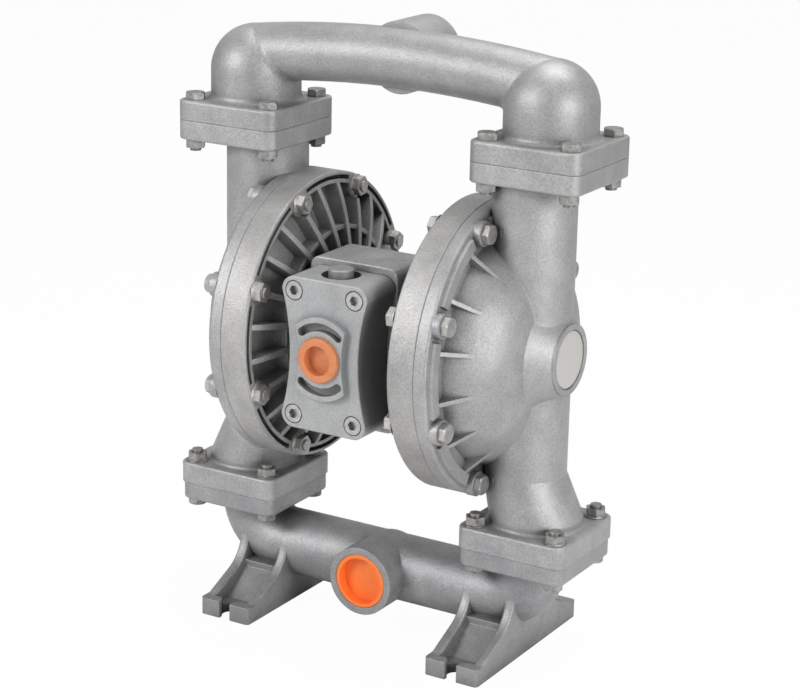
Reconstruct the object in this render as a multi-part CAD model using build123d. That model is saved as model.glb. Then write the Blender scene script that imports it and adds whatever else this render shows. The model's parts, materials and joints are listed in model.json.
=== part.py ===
from build123d import *
from math import acos, asin, cos, degrees, radians, sin, sqrt
import os

os.makedirs("parts", exist_ok=True)

# Air operated double diaphragm pump with 1 1/2 inch ports, in millimetres.
# X runs along the diaphragm shaft, the suction port faces -Y, and z = 0 is the floor.
# The origin lies on the floor, midway between the four foot bolts.

# Frame of the pump
port_spacing = 297.0
top_joint_z = 448.5
bottom_joint_z = 105.5
casting_wall = 6.0
cast_fillet = 2.0
elbow_root_fillet = 5.0
cage_root_fillet = 3.0
pipe_root_fillet = 4.0
seam_chamfer = 0.5

# How far a cutting body runs past the face that it cuts
overrun = 1.0

# Square flanges that join the manifolds to the fluid chambers
flange_side = 104.0
suction_flange_side = 101.6
flange_corner_radius = 11.0
flange_bolt_pitch = 78.0
discharge_flange_thickness = 18.0
chamber_top_flange_thickness = 17.5
chamber_bottom_flange_thickness = 20.0
suction_flange_thickness = 16.0

# Fasteners of the castings, M10
bolt_diameter = 10.0
bolt_hole_clearance = 0.5
bolt_across_flats = 16.0
bolt_head_height = 6.4
hexagon_bevel = 1.5
nut_height = 8.0
nut_flange_radius = 10.3
nut_flange_height = 2.0
nut_flange_rim = 0.8
thread_end = 3.0
thread_clearance = 0.05

# Discharge manifold
discharge_pipe_radius = 25.7
discharge_pipe_wall = 5.2
discharge_pipe_crown_z = 517.6
discharge_pipe_bow_radius = 1080.0
discharge_elbow_radius = 40.5
discharge_elbow_height = 44.0
elbow_fillet = 7.0

# Suction manifold and its feet
suction_pipe_radius = 30.4
suction_pipe_wall = 5.4
suction_pipe_z = 50.6
port_boss_radius = 31.7
port_boss_reach = 51.5
foot_centre_x = 119.2
foot_width = 52.5
foot_reach = 93.4
foot_tip_height = 16.0
foot_tip_length = 10.0
foot_bend_y = 50.0
foot_bend_height = 31.0
foot_curve_y = 36.5
foot_curve_height = 42.0
foot_root_y = 30.0
foot_root_height = 58.0
foot_top_rounding = 2.5
foot_ledge_height = 36.0
foot_tip_rounding = 3.5
foot_rib_thickness = 9.0
foot_floor_height = 9.0
foot_pocket_start = 66.0
foot_pocket_end = 36.0
foot_pocket_end_height = 30.0
foot_hole_radius = 8.75
foot_hole_inset = 11.0
foot_mouth_width = 11.5

# Liquid ports, female G 1 1/2 thread at its minor diameter
port_thread_radius = 22.42
port_thread_length = 22.0
port_passage_radius = 20.4
port_chamfer = 1.6
port_cap_radius = 25.2
port_cap_depth = 12.5
port_cap_wall = 3.6
port_cap_floor = 2.8
port_cap_rounding = 0.8
cap_clearance = 0.2

# Valve seats and check balls
ball_radius = 26.0
ball_cage_radius = 35.0
ball_seat_gap = 0.5
seat_outer_radius = 37.0
seat_bore_radius = 20.0
seat_lip_radius = 24.0
seat_thickness = 10.0
seat_clearance = 0.1
seal_step_depth = 2.0
seal_step_width = 3.0

# Chambers, stated for the right side and mirrored for the left
seam_x = 96.5
rim_radius = 130.2
rim_inner_x = 71.0
fluid_flange_thickness = 12.0
chamber_bolt_inset = 10.2
chamber_bolt_count = 8
chamber_bolt_start = 22.5
air_boss_radius = 11.5
fluid_boss_radius = 11.0
spotface_height = 6.5
spotface_reach = 10.5

# Fluid chamber dome, neck and boss
dome_crown_x = 156.7
dome_round_radius = 67.4
dome_inset = 24.2
dome_wall = 7.0
neck_inset = 12.8
neck_radius = 37.0
neck_wall = 7.0
passage_start = 46.5
cage_outer_radius = 41.5
cage_straight_height = 6.5
neck_blend_z = 170.0
boss_radius = 31.5
boss_lip = 2.1
boss_face_x = 175.6
boss_root_radius = 55.0
boss_root_depth = 25.6
badge_radius = 25.0
badge_thickness = 0.8
badge_recess = 1.6
badge_clearance = 1.0
band_inset = 4.5
band_width = 11.5
band_height = 3.6
band_slope = 0.8
band_gap_angle = 7.0
gusset_thickness = 4.0
gusset_root_inset = 15.2
gusset_tip_radius = 91.0
gusset_tip_x = 132.0
gusset_depth = 8.0
gusset_angle = 11.25

# Air chamber web, ribs and hub
hub_radius = 50.0
web_hub_x = 62.0
web_hub_radius = 60.0
web_rim_x = 86.0
rim_wall = 3.4
groove_width = 3.8
groove_depth = 10.0
ring_wall = 3.5
groove_end_gap = 1.5
rib_count = 24
rib_thickness = 5.0
rib_hub_x = 50.0
rib_crown_x = 57.0
rib_crown_radius = 85.0
web_ring_radius = 82.0
web_ring_thickness = 4.0
web_ring_drop = 1.5

# Diaphragms and their plates
diaphragm_inset = 18.2
diaphragm_grip = 8.0
diaphragm_thickness = 5.0
diaphragm_clearance = 0.3
roll_gap = 3.0
roll_depth = 10.0
half_stroke = 16.0
inner_plate_radius = 56.0
inner_plate_thickness = 7.5
outer_plate_radius = 54.0
outer_plate_thickness = 9.0
outer_nut_radius = 15.0
outer_nut_length = 10.0
plate_rounding = 3.0
shaft_radius = 10.0
stud_radius = 8.0
running_clearance = 0.05
rod_passage_clearance = 1.5

# Centre block between the air chambers
block_half_width = 44.0
block_front_y = -69.0
block_back_y = 58.0
block_height = 148.0
block_back_height = 104.0
block_shoulder_y = -14.0
block_slope_end_y = 6.0
block_edge = 6.0
block_corner_radius = 9.0
block_front_edge = 1.2
block_gasket = 1.0
bushing_radius = 14.0
bushing_length = 14.0
seal_length = 6.0
exhaust_drop = 26.0
exhaust_boss_radius = 24.0
exhaust_boss_length = 12.0
air_thread_radius = 12.06
exhaust_thread_length = 22.0
block_screw_radius = 4.0
block_screw_circle_radius = 38.0
block_screw_head_radius = 6.5
block_screw_head_height = 7.5
block_screw_recess_depth = 8.0
block_screw_key_radius = 3.2
block_screw_key_depth = 4.0
block_screw_engagement = 14.0

# Pilot rod that the inner plates push at the ends of the stroke
pilot_rod_radius = 4.0
pilot_rod_offset = 32.0
pilot_half_travel = 2.5
pilot_gap = 0.3
pilot_bushing_radius = 7.0
pilot_bushing_length = 10.0

# Air valve body, an hourglass block on the front of the centre block
valve_front_y = -116.0
valve_screw_half_x = 30.0
valve_screw_half_z = 55.0
valve_corner_radius = 12.5
valve_waist_half_width = 34.5
valve_edge_rounding = 1.2
valve_pad_height = 6.0
valve_pad_radius = 37.8
valve_pad_half_width = 25.6
valve_pad_waist_half_width = 22.6
valve_pad_taper = 8.0
slot_radius = 28.5
slot_width = 7.2
slot_half_angle = 40.0
slot_depth = 7.0
valve_screw_radius = 5.0
valve_screw_head_radius = 8.0
valve_screw_head_height = 10.0
valve_screw_recess_clearance = 0.8
valve_screw_engagement = 18.0
inlet_recess_radius = 15.2
inlet_recess_depth = 6.0
inlet_thread_length = 10.0
inlet_passage_radius = 9.0
inlet_cap_lip_radius = 19.5
inlet_cap_lip_height = 4.2
inlet_cap_lip_rounding = 1.6
inlet_cap_bore_radius = 13.0
inlet_cap_floor = 1.8
inlet_cap_gap = 0.3
valve_screw_key_radius = 4.6
valve_screw_key_depth = 5.0

# Main spool in its sleeve, on a vertical axis
spool_y = -89.0
spool_bore_radius = 14.5
spool_radius = 9.0
spool_waist_radius = 5.5
spool_travel = 12.0
spool_gap = 0.3
spool_chamber_length = 100.0
sleeve_port_radius = 5.5
plug_seat_radius = 17.0
plug_seat_depth = 9.0
plug_flange_thickness = 9.0
plug_stem_radius = 11.0
plug_stem_height = 15.0
plug_bevel = 1.0
ring_section = 1.6
ring_mouth = 8.0

half_spacing = port_spacing / 2
neck_x = half_spacing - neck_inset
chamber_z = (top_joint_z + bottom_joint_z) / 2
bolt_radius = bolt_diameter / 2
bolt_hole_radius = bolt_radius + bolt_hole_clearance
chamber_bolt_angles = [
    chamber_bolt_start + index * 360 / chamber_bolt_count for index in range(chamber_bolt_count)
]
fluid_face_x = seam_x + fluid_flange_thickness
chamber_bolt_circle_radius = rim_radius - chamber_bolt_inset
chamber_bolt_protrusion = 2.0
diaphragm_radius = rim_radius - diaphragm_inset
chamber_bore_radius = diaphragm_radius - diaphragm_grip
roll_inner_radius = inner_plate_radius + roll_gap
roll_outer_radius = chamber_bore_radius - roll_gap
groove_outer_radius = rim_radius - rim_wall
ring_wall_radius = groove_outer_radius - groove_width
pocket_radius = ring_wall_radius - ring_wall
hub_x = block_half_width + block_gasket
valve_back_y = block_front_y - block_gasket
valve_half_height = valve_screw_half_z + valve_corner_radius
diaphragm_pocket = diaphragm_thickness / 2
block_screw_angles = (45, 135, 225, 315)
side_names = {"left": -1, "right": 1}
flange_bolt_places = [
    (x * flange_bolt_pitch / 2, y * flange_bolt_pitch / 2) for x in (-1, 1) for y in (-1, 1)
]


def circles(part, radius):
    """The part's round edges of one radius."""
    return part.edges().filter_by(GeomType.CIRCLE).filter_by(
        lambda edge: abs(edge.radius - radius) < thread_clearance)


def root_circles(part, radius, height):
    """The circles of one radius at one height, where a pipe stands on a flange."""
    return circles(part, radius).filter_by_position(Axis.Z, height - overrun, height + overrun)


def filled(*edges):
    """A flat face inside joined edges."""
    return make_face(Curve() + list(edges))


def polygon(points):
    """A flat face inside straight lines through the points."""
    return make_face(Polyline(*points, close=True))


def turned(face, degrees_of_turn=360):
    """A body turned about the shaft axis from a face drawn as (x, radius)."""
    return revolve(face, Axis.X, degrees_of_turn)


def turned_upright(points):
    """A body turned about the vertical axis from points drawn as (radius, height)."""
    return revolve(Plane.XZ * polygon(points), Axis.Z)


def along_x(radius, start, end):
    """A cylinder on the shaft axis between two x positions."""
    return Pos((start + end) / 2, 0, 0) * Rot(0, 90, 0) * Cylinder(radius, abs(end - start))


def along_y(radius, start, end):
    """A cylinder on the Y axis between two y positions."""
    return Pos(0, (start + end) / 2, 0) * Rot(90, 0, 0) * Cylinder(radius, abs(end - start))


def upright(radius, bottom, top):
    """A cylinder on the Z axis between two heights."""
    return Pos(0, 0, (bottom + top) / 2) * Cylinder(radius, top - bottom)


def hexagon(across_flats, bottom, top):
    """A hexagonal prism on the Z axis."""
    face = RegularPolygon(across_flats / 2, 6, major_radius=False)
    return Pos(0, 0, bottom) * extrude(face, top - bottom)


def round_the_shaft(part, angle, radius):
    """Moves a part out from the shaft axis, the angle being measured from straight up."""
    return Rot(angle, 0, 0) * Pos(0, 0, radius) * part


def placed(part, side):
    """Lifts a chamber part to the shaft's height, on the right or mirrored to the left."""
    part = Pos(0, 0, chamber_z) * part
    return part if side > 0 else mirror(part, Plane.YZ)


def hex_bolt(length):
    """A hexagon bolt with its head above z = 0 and its shank below."""
    head = hexagon(bolt_across_flats, 0, bolt_head_height)
    crown = bolt_across_flats / 2
    corner = crown / cos(radians(30))
    bevel = turned_upright([(0, 0), (corner, 0), (corner, bolt_head_height - hexagon_bevel),
                            (crown, bolt_head_height), (0, bolt_head_height)])
    return (head & bevel) + upright(bolt_radius, -length, 0)


def flange_nut():
    """A hexagon nut with a round flange, standing on z = 0."""
    flange = turned_upright([(0, 0), (nut_flange_radius, 0), (nut_flange_radius, nut_flange_rim),
                             (bolt_across_flats / 2, nut_flange_height), (0, nut_flange_height)])
    body = hexagon(bolt_across_flats, nut_flange_height / 2, nut_height)
    bore = upright(bolt_radius + thread_clearance, -overrun, nut_height + overrun)
    return flange + body - bore


def plain_nut():
    """A plain hexagon nut, standing on z = 0."""
    bore = upright(bolt_radius + thread_clearance, -overrun, nut_height + overrun)
    return hexagon(bolt_across_flats, 0, nut_height) - bore


def socket_screw(radius, head_radius, head_height, length, key_radius, key_depth):
    """A socket head cap screw, its seat on z = 0 and its shank below."""
    screw = upright(head_radius, 0, head_height) + upright(radius, -length, 0)
    key = hexagon(2 * key_radius * cos(radians(30)), head_height - key_depth,
                  head_height + overrun)
    return screw - key


def flange_plate(bottom, top, joint, side=flange_side):
    """A square flange with round corners, a small chamfer at the joint and a cast edge opposite."""
    outline = RectangleRounded(side, side, flange_corner_radius)
    plate = Pos(0, 0, bottom) * extrude(outline, top - bottom)
    joint_end, cast_end = (0, -1) if joint == bottom else (-1, 0)
    plate = fillet(plate.faces().sort_by(Axis.Z)[cast_end].edges(), cast_fillet)
    return chamfer(plate.faces().sort_by(Axis.Z)[joint_end].edges(), seam_chamfer)


def flange_holes(bottom, top):
    """The four bolt holes of a square flange."""
    return [Pos(x, y, 0) * upright(bolt_hole_radius, bottom - overrun, top + overrun)
            for x, y in flange_bolt_places]


def port_cutter(face_y, thread_start, direction):
    """The thread of a liquid port and the way into its pipe, on the Y axis."""
    thread = along_y(port_thread_radius, face_y, thread_start - direction * port_thread_length)
    return thread + along_y(port_passage_radius, face_y, 0)


def discharge_manifold():
    """One casting: a bowed pipe, two elbows that are the upper ball cages, and the outlet."""
    joint_top = top_joint_z + discharge_flange_thickness
    elbow_z = top_joint_z + discharge_elbow_height
    axis = Axis((0, 0, discharge_pipe_crown_z - discharge_pipe_bow_radius), (0, 1, 0))
    half_angle = degrees(asin(half_spacing / discharge_pipe_bow_radius))
    crown = Plane((0, 0, discharge_pipe_crown_z), x_dir=(0, 1, 0), z_dir=(1, 0, 0))

    def bowed(radius):
        start = (crown * Circle(radius)).rotate(axis, -half_angle)
        return revolve(start, axis, 2 * half_angle)

    body = bowed(discharge_pipe_radius)
    hollow = bowed(discharge_pipe_radius - discharge_pipe_wall)
    for side in (-1, 1):
        place = Pos(side * half_spacing, 0, 0)
        body += place * upright(discharge_elbow_radius, top_joint_z, elbow_z)
        body += place * Pos(0, 0, elbow_z) * Sphere(discharge_elbow_radius)
    throat = body.edges().filter_by(lambda edge: abs(edge.center().X) < half_spacing)
    throat = throat.filter_by(lambda edge: abs(edge.center().X) > half_spacing / 2)
    body = fillet(throat.filter_by(lambda edge: edge.length > discharge_pipe_radius), elbow_fillet)
    outlet = along_y(port_boss_radius, 0, port_boss_reach)
    body += Pos(0, 0, discharge_pipe_crown_z) * outlet
    for side in (-1, 1):
        place = Pos(side * half_spacing, 0, 0)
        body += place * flange_plate(top_joint_z, joint_top, top_joint_z)
        hollow += place * upright(ball_cage_radius, top_joint_z - overrun, elbow_z)
        hollow += place * Pos(0, 0, elbow_z) * Sphere(ball_cage_radius)
    body = fillet(root_circles(body, discharge_elbow_radius, joint_top), elbow_root_fillet)
    body -= hollow
    for side in (-1, 1):
        for hole in flange_holes(top_joint_z, joint_top):
            body -= Pos(side * half_spacing, 0, 0) * hole
    port = port_cutter(port_boss_reach, port_boss_reach, 1)
    body -= Pos(0, 0, discharge_pipe_crown_z) * port
    mouth = Cone(port_thread_radius + port_chamfer, port_thread_radius, port_chamfer)
    mouth = Pos(0, port_boss_reach - port_chamfer / 2, discharge_pipe_crown_z) * Rot(90, 0, 0) * mouth
    return body - mouth


def foot():
    """One cast foot across the pipe: two ribs with a channel and an open bolt notch at each end."""
    slope_start = foot_reach - foot_tip_length
    channel_half_width = foot_width / 2 - foot_rib_thickness
    bend, root = (foot_bend_y, foot_bend_height), (foot_root_y, foot_root_height)
    profile = filled(
        Polyline(root, (0, foot_root_height), (0, 0), (foot_reach, 0), (foot_reach, foot_tip_height),
                 (slope_start, foot_tip_height), bend),
        ThreePointArc(bend, (foot_curve_y, foot_curve_height), root))
    rib = Pos(channel_half_width, 0, 0) * extrude(Plane.YZ * profile, foot_rib_thickness)
    tip = rib.edges().filter_by(Axis.Z).sort_by(Axis.Y)[-2:].sort_by(Axis.X)[-1]
    rib = fillet(tip, foot_tip_rounding)
    slopes = rib.edges().filter_by(lambda edge: edge.center().Y > foot_root_y)
    rib = fillet(slopes.filter_by(lambda edge: edge.center().Z > foot_tip_height + overrun),
                 foot_top_rounding)
    floor = polygon([
        (0, 0), (foot_reach, 0), (foot_reach, foot_tip_height), (slope_start, foot_tip_height),
        (slope_start, foot_floor_height), (foot_pocket_start, foot_floor_height),
        (foot_pocket_end, foot_pocket_end_height), (foot_pocket_end, foot_ledge_height),
        (0, foot_ledge_height)])
    quarter = rib + extrude(Plane.YZ * floor, channel_half_width)
    half = quarter + mirror(quarter, Plane.YZ)
    half -= Pos(0, foot_reach - foot_hole_inset, 0) * upright(
        foot_hole_radius, -overrun, foot_root_height)
    half -= Pos(0, foot_reach, 0) * Box(
        foot_mouth_width, 2 * foot_hole_inset, 2 * foot_root_height)
    return half + mirror(half, Plane.XZ)


def suction_manifold():
    """One casting: straight pipe, two bends up to the flanges, the inlet boss and two feet."""
    flange_bottom = bottom_joint_z - suction_flange_thickness
    bend = flange_bottom - suction_pipe_z
    straight_end = half_spacing - bend

    def piped(radius):
        pipe = Pos(0, 0, suction_pipe_z) * along_x(radius, -straight_end, straight_end)
        for side in (-1, 1):
            start = Plane((side * half_spacing, 0, flange_bottom))
            turn_axis = Axis((side * straight_end, 0, flange_bottom), (0, side, 0))
            pipe += revolve(start * Circle(radius), turn_axis, 90)
        return pipe

    body = piped(suction_pipe_radius)
    boss = along_y(port_boss_radius, -port_boss_reach, 0) + Sphere(port_boss_radius)
    body += Pos(0, 0, suction_pipe_z) * boss
    for side in (-1, 1):
        place = Pos(side * half_spacing, 0, 0)
        body += place * flange_plate(flange_bottom, bottom_joint_z, bottom_joint_z,
                                     suction_flange_side)
        body += Pos(side * foot_centre_x, 0, 0) * foot()
    body = fillet(root_circles(body, suction_pipe_radius, flange_bottom), pipe_root_fillet)
    body -= piped(suction_pipe_radius - suction_pipe_wall)
    for side in (-1, 1):
        place = Pos(side * half_spacing, 0, 0)
        pipe_bore = suction_pipe_radius - suction_pipe_wall
        body -= place * upright(pipe_bore, flange_bottom, bottom_joint_z + overrun)
        body -= place * upright(seat_outer_radius + seat_clearance,
                                bottom_joint_z - seat_thickness, bottom_joint_z + overrun)
        for hole in flange_holes(flange_bottom, bottom_joint_z):
            body -= place * hole
    recess_y = port_cap_depth - port_boss_reach
    recess = along_y(port_cap_radius + cap_clearance, -port_boss_reach - overrun, recess_y)
    port = port_cutter(-port_boss_reach, recess_y, -1)
    return body - Pos(0, 0, suction_pipe_z) * (recess + port)


def dome_profile(offset):
    """The turned outline of the dome, set in by an offset, as (x, radius)."""
    centre_x = dome_crown_x - dome_round_radius
    start_x = seam_x + fluid_flange_thickness / 4
    flat_radius = rim_radius - dome_inset - sqrt(dome_round_radius ** 2 - (start_x - centre_x) ** 2)
    radius = dome_round_radius - offset
    start_angle = acos((start_x - centre_x) / radius)
    return [(centre_x + radius * cos(angle), flat_radius + radius * sin(angle))
            for angle in (start_angle, start_angle / 2, 0)]


def fluid_chamber():
    """Right fluid chamber: domed cover, flow neck with two flanges, and the lower ball cage."""
    start, middle, end = dome_profile(0)
    dome = filled(
        Polyline((seam_x, 0), (seam_x, start[1]), start), ThreePointArc(start, middle, end),
        Polyline(end, (end[0], 0), (seam_x, 0)))
    body = turned(dome) + along_x(rim_radius, seam_x, fluid_face_x)
    body = fillet(circles(body, rim_radius).sort_by(Axis.X)[-1], cast_fillet)
    body = chamfer(circles(body, rim_radius).sort_by(Axis.X)[0], seam_chamfer)
    sector = 360 / chamber_bolt_count
    band_outer_radius = rim_radius - band_inset
    band_inner_radius = band_outer_radius - band_width
    gusset_root_radius = rim_radius - gusset_root_inset
    band = polygon([
        (fluid_face_x - overrun, band_inner_radius),
        (fluid_face_x + band_height, band_inner_radius),
        (fluid_face_x + band_height, band_outer_radius - band_slope),
        (fluid_face_x, band_outer_radius), (fluid_face_x - overrun, band_outer_radius)])
    band = Rot(band_gap_angle - 90, 0, 0) * turned(band, sector - 2 * band_gap_angle)
    gusset = polygon([
        (fluid_face_x - overrun, gusset_root_radius - gusset_depth),
        (fluid_face_x - overrun, gusset_root_radius),
        (fluid_face_x + band_height, gusset_root_radius), (gusset_tip_x, gusset_tip_radius),
        (gusset_tip_x - gusset_depth, gusset_tip_radius - gusset_depth)])
    gusset = extrude(Plane.XZ * gusset, gusset_thickness / 2, both=True)
    for angle in chamber_bolt_angles:
        body += Rot(-angle, 0, 0) * Rot(90, 0, 0) * band
        boss = along_x(fluid_boss_radius, fluid_face_x - overrun, fluid_face_x + spotface_height)
        body += round_the_shaft(boss, angle, chamber_bolt_circle_radius)
        middle_angle = angle + sector / 2
        if abs(sin(radians(middle_angle))) > 0.5:
            body += Rot(middle_angle + gusset_angle, 0, 0) * gusset
            body += Rot(middle_angle - gusset_angle, 0, 0) * gusset
    boss_root_x = boss_face_x - boss_root_depth
    body += turned(polygon([
        (boss_root_x, 0), (boss_root_x, boss_root_radius), (boss_face_x - boss_lip, boss_radius),
        (boss_face_x, boss_radius), (boss_face_x, 0)]))
    flange_bottom = top_joint_z - chamber_z - chamber_top_flange_thickness
    cage_top = bottom_joint_z - chamber_z + chamber_bottom_flange_thickness
    top = top_joint_z - chamber_z
    bottom = bottom_joint_z - chamber_z
    blend_low = cage_top + cage_straight_height
    blend_high = neck_blend_z - chamber_z
    body += Pos(neck_x, 0, 0) * upright(neck_radius, blend_high, flange_bottom)
    body += loft([Plane((half_spacing, 0, blend_low)) * Circle(cage_outer_radius),
                  Plane((neck_x, 0, blend_high)) * Circle(neck_radius)])
    body += Pos(half_spacing, 0, 0) * upright(cage_outer_radius, bottom, blend_low)
    body += Pos(half_spacing, 0, 0) * flange_plate(flange_bottom, top, top)
    body += Pos(half_spacing, 0, 0) * flange_plate(bottom, cage_top, bottom)
    body = fillet(root_circles(body, cage_outer_radius, cage_top), cage_root_fillet)

    start, middle, end = dome_profile(dome_wall)
    behind_x = seam_x - overrun
    hollow = turned(filled(
        Polyline((behind_x, 0), (behind_x, chamber_bore_radius), (seam_x, chamber_bore_radius),
                 start),
        ThreePointArc(start, middle, end), Polyline(end, (end[0], 0), (behind_x, 0))))
    hollow += along_x(diaphragm_radius + diaphragm_clearance, behind_x, seam_x + diaphragm_pocket)
    bore = neck_radius - neck_wall
    hollow += Pos(neck_x, 0, 0) * upright(bore, passage_start, flange_bottom - cast_fillet)
    hollow += Pos(neck_x, 0, 0) * upright(bore, blend_high, -passage_start)
    seat_floor = top - seat_thickness
    hollow += loft([Plane((neck_x, 0, flange_bottom - 2 * casting_wall)) * Circle(bore),
                    Plane((half_spacing - casting_wall / 2, 0, seat_floor)) * Circle(seat_lip_radius)])
    hollow += Pos(half_spacing, 0, 0) * upright(
        seat_outer_radius + seat_clearance, seat_floor, top + overrun)
    hollow += loft([Plane((half_spacing, 0, blend_low)) * Circle(ball_cage_radius),
                    Plane((neck_x, 0, blend_high)) * Circle(bore)])
    hollow += Pos(half_spacing, 0, 0) * upright(ball_cage_radius, bottom - overrun, blend_low)
    body -= hollow
    for hole in flange_holes(flange_bottom, top) + flange_holes(bottom, cage_top):
        body -= Pos(half_spacing, 0, 0) * hole
    seat_x = fluid_face_x + spotface_height
    hole = along_x(bolt_hole_radius, behind_x, seat_x + overrun)
    spotface = along_x(fluid_boss_radius + bolt_hole_clearance, seat_x, seat_x + spotface_reach)
    for angle in chamber_bolt_angles:
        body -= round_the_shaft(hole, angle, chamber_bolt_circle_radius)
        body -= round_the_shaft(spotface, angle, chamber_bolt_circle_radius)
    return body - along_x(badge_radius + badge_clearance, boss_face_x - badge_recess,
                          boss_face_x + overrun)


def air_chamber():
    """Right air chamber: a dished web with radial ribs, a rim with cored grooves, and the hub."""
    web_slope = (web_rim_x - web_hub_x) / (pocket_radius - web_hub_radius)
    bore_web_x = web_hub_x + casting_wall + web_slope * (chamber_bore_radius - web_hub_radius)
    inner_face = web_hub_x + casting_wall
    body = turned(polygon([
        (hub_x, 0), (hub_x, hub_radius), (web_hub_x, hub_radius), (web_hub_x, web_hub_radius),
        (web_rim_x, pocket_radius), (rim_inner_x, pocket_radius), (rim_inner_x, rim_radius),
        (seam_x, rim_radius), (seam_x, chamber_bore_radius), (bore_web_x, chamber_bore_radius),
        (inner_face, web_hub_radius), (inner_face, 0)]))
    body = fillet(circles(body, rim_radius).sort_by(Axis.X)[0], cast_fillet)
    body = chamfer(circles(body, rim_radius).sort_by(Axis.X)[-1], seam_chamfer)
    body -= along_x(diaphragm_radius + diaphragm_clearance, seam_x - diaphragm_pocket,
                    seam_x + overrun)

    sector = 360 / chamber_bolt_count
    gap = degrees(asin((air_boss_radius + groove_end_gap) / chamber_bolt_circle_radius))
    groove = turned(polygon([
        (rim_inner_x - overrun, ring_wall_radius), (rim_inner_x - overrun, groove_outer_radius),
        (rim_inner_x + groove_depth, groove_outer_radius),
        (rim_inner_x + groove_depth, ring_wall_radius)]), sector - 2 * gap)
    body -= [Rot(90 - angle + gap - sector, 0, 0) * groove for angle in chamber_bolt_angles]

    rim_end = (rim_inner_x, pocket_radius + overrun)
    hub_end = (rib_hub_x, hub_radius - overrun)
    rib = filled(
        ThreePointArc(rim_end, (rib_crown_x, rib_crown_radius), hub_end),
        Polyline(hub_end, (web_hub_x + casting_wall / 2, hub_radius - overrun),
                 (web_hub_x + casting_wall / 2, web_hub_radius),
                 (web_rim_x + casting_wall / 2, pocket_radius + overrun), rim_end))
    rib = extrude(Plane.XZ * rib, rib_thickness / 2, both=True)
    ring_outer = web_ring_radius + web_ring_thickness / 2
    ring_inner = web_ring_radius - web_ring_thickness / 2
    ring_web_x = web_hub_x + web_slope * (web_ring_radius - web_hub_radius)
    ring_top_x = rib_crown_x + web_ring_drop
    ring_root_x = ring_web_x + casting_wall / 2
    ring = turned(polygon([
        (ring_top_x, ring_inner), (ring_top_x, ring_outer), (ring_root_x, ring_outer),
        (ring_root_x, ring_inner)]))
    boss = along_x(air_boss_radius, rim_inner_x, web_rim_x + casting_wall)
    trim = along_x((groove_outer_radius + rim_radius) / 2, rim_inner_x, seam_x)
    bosses = [round_the_shaft(boss, angle, chamber_bolt_circle_radius) & trim
              for angle in chamber_bolt_angles]
    ribs = [Rot(360 / rib_count * (index + 0.5), 0, 0) * rib for index in range(rib_count)]
    body += [ring] + bosses + ribs

    hole = along_x(bolt_hole_radius, rim_inner_x - overrun, seam_x + overrun)
    spotface = along_x(air_boss_radius, hub_x, rim_inner_x)
    cutters = [round_the_shaft(tool, angle, chamber_bolt_circle_radius)
               for angle in chamber_bolt_angles for tool in (hole, spotface)]
    before, after = hub_x - overrun, inner_face + overrun
    cutters.append(along_x(shaft_radius + rod_passage_clearance, before, after))
    cutters.append(Pos(0, 0, pilot_rod_offset) * along_x(
        pilot_rod_radius + rod_passage_clearance, before, after))
    screw_hole = along_x(block_screw_radius + bolt_hole_clearance, before, after)
    screw_recess = along_x(block_screw_head_radius + bolt_hole_clearance,
                           inner_face - block_screw_recess_depth, after)
    cutters += [round_the_shaft(tool, angle, block_screw_circle_radius)
                for angle in block_screw_angles for tool in (screw_hole, screw_recess)]
    return body - cutters


def center_block():
    """Centre casting that joins the air chambers and carries the shaft, pilot rod and valve."""
    high, low = block_height / 2, block_back_height / 2
    side_outline = Polygon(
        (block_front_y, -high), (block_front_y, high), (block_shoulder_y, high),
        (block_slope_end_y, low), (block_back_y, low), (block_back_y, -low),
        (block_slope_end_y, -low), (block_shoulder_y, -high), align=None)
    side_outline = fillet(side_outline.vertices().sort_by(Axis.X)[2:], block_edge)
    body = extrude(Plane.YZ * side_outline, block_half_width, both=True)
    body = fillet(body.edges().filter_by(Axis.Z).sort_by(Axis.Y)[-2:], block_edge)
    back = Plane((0, block_back_y, 0), x_dir=(1, 0, 0), z_dir=(0, -1, 0))
    body &= extrude(back * RectangleRounded(2 * block_half_width, block_height,
                                            block_corner_radius), block_back_y - block_front_y)
    body = fillet(body.faces().sort_by(Axis.Y)[0].edges(), block_front_edge)
    face_y = block_back_y + exhaust_boss_length
    exhaust = Pos(0, 0, -exhaust_drop)
    body += exhaust * along_y(exhaust_boss_radius, block_back_y - overrun, face_y)
    body -= exhaust * along_y(air_thread_radius, face_y - exhaust_thread_length, face_y + overrun)
    outside = block_half_width + overrun
    body -= along_x(shaft_radius + rod_passage_clearance, -outside, outside)
    pilot = Pos(0, 0, pilot_rod_offset)
    body -= pilot * along_x(pilot_rod_radius + rod_passage_clearance, -outside, outside)
    bushing_end = block_half_width - bushing_length - seal_length
    pilot_bushing_end = block_half_width - pilot_bushing_length
    screw_end = block_half_width - block_screw_engagement - thread_end
    for side in (-1, 1):
        body -= along_x(bushing_radius, side * bushing_end, side * outside)
        body -= pilot * along_x(pilot_bushing_radius, side * pilot_bushing_end, side * outside)
        screw_hole = along_x(block_screw_radius + thread_clearance, side * screw_end,
                             side * outside)
        for angle in block_screw_angles:
            body -= round_the_shaft(screw_hole, angle, block_screw_circle_radius)
    screw_hole = along_y(valve_screw_radius + thread_clearance, block_front_y - overrun,
                         block_front_y + valve_screw_engagement + thread_end)
    for x, z in valve_screw_places():
        body -= Pos(x, 0, z) * screw_hole
    return Pos(0, 0, chamber_z) * body


def valve_screw_places():
    """The four screws of the air valve, about the shaft's height."""
    return [(x * valve_screw_half_x, z * valve_screw_half_z) for x in (-1, 1) for z in (-1, 1)]


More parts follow.
